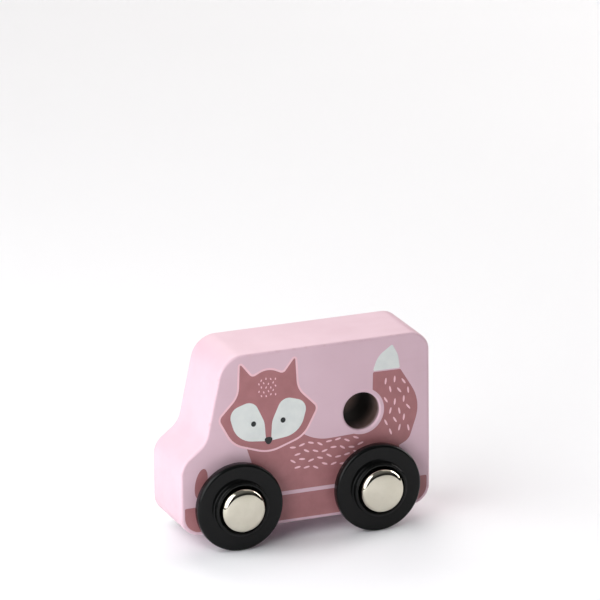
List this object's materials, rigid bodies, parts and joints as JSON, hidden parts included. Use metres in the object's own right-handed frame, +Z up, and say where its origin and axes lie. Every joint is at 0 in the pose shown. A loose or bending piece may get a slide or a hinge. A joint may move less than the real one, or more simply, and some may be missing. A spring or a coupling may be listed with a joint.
{
  "type": "toy van",
  "caption": "Wooden toy van with a sloping bonnet and windscreen, free-turning wheels on steel axles, pressed hub caps and a round filler hole through its side.",
  "frame": {"origin": "on the ground under the middle of the van: the centre of the footprint of its bounding box", "axes": "+X forward, towards the bonnet; +Y to the van's left; +Z up"},
  "size_m": [0.08, 0.0426, 0.0594],
  "materials": {
    "body_paint": "satin lacquer",
    "wheel_plastic": "moulded, semi-gloss",
    "cap_nickel": "polished nickel plate",
    "axle_steel": "drawn bright steel",
    "washer_steel": "blued spring steel",
    "print_rose": "matt pad-printed ink",
    "print_white": "matt pad-printed ink",
    "print_black": "matt pad-printed ink",
    "raw_wood": "drilled bare beech"
  },
  "bodies": {
    "van": {"body_block": "body_paint"},
    "front_axle_set": {"front_axle": "axle_steel", "hub_cap_front_left": "cap_nickel", "hub_cap_front_right": "cap_nickel", "grip_washer_front_left": "washer_steel", "grip_washer_front_right": "washer_steel"},
    "rear_axle_set": {"rear_axle": "axle_steel", "hub_cap_rear_left": "cap_nickel", "hub_cap_rear_right": "cap_nickel", "grip_washer_rear_left": "washer_steel", "grip_washer_rear_right": "washer_steel"},
    "front_left_wheel": {"wheel_front_left": "wheel_plastic"},
    "front_right_wheel": {"wheel_front_right": "wheel_plastic"},
    "rear_left_wheel": {"wheel_rear_left": "wheel_plastic"},
    "rear_right_wheel": {"wheel_rear_right": "wheel_plastic"}
  },
  "joints": [
    {"name": "front_axle_spin", "type": "hinge", "parent": "van", "child": "front_axle_set", "pos_m": [0.023, 0, 0.0136], "axis": [0, 1, 0], "continuous": true},
    {"name": "rear_axle_spin", "type": "hinge", "parent": "van", "child": "rear_axle_set", "pos_m": [-0.0214, 0, 0.0136], "axis": [0, 1, 0], "continuous": true},
    {"name": "wheel_front_left_spin", "type": "hinge", "parent": "front_axle_set", "child": "front_left_wheel", "pos_m": [0.023, 0.016, 0.0136], "axis": [0, 1, 0], "continuous": true},
    {"name": "wheel_front_right_spin", "type": "hinge", "parent": "front_axle_set", "child": "front_right_wheel", "pos_m": [0.023, -0.016, 0.0136], "axis": [0, 1, 0], "continuous": true},
    {"name": "wheel_rear_left_spin", "type": "hinge", "parent": "rear_axle_set", "child": "rear_left_wheel", "pos_m": [-0.0214, 0.016, 0.0136], "axis": [0, 1, 0], "continuous": true},
    {"name": "wheel_rear_right_spin", "type": "hinge", "parent": "rear_axle_set", "child": "rear_right_wheel", "pos_m": [-0.0214, -0.016, 0.0136], "axis": [0, 1, 0], "continuous": true}
  ]
}
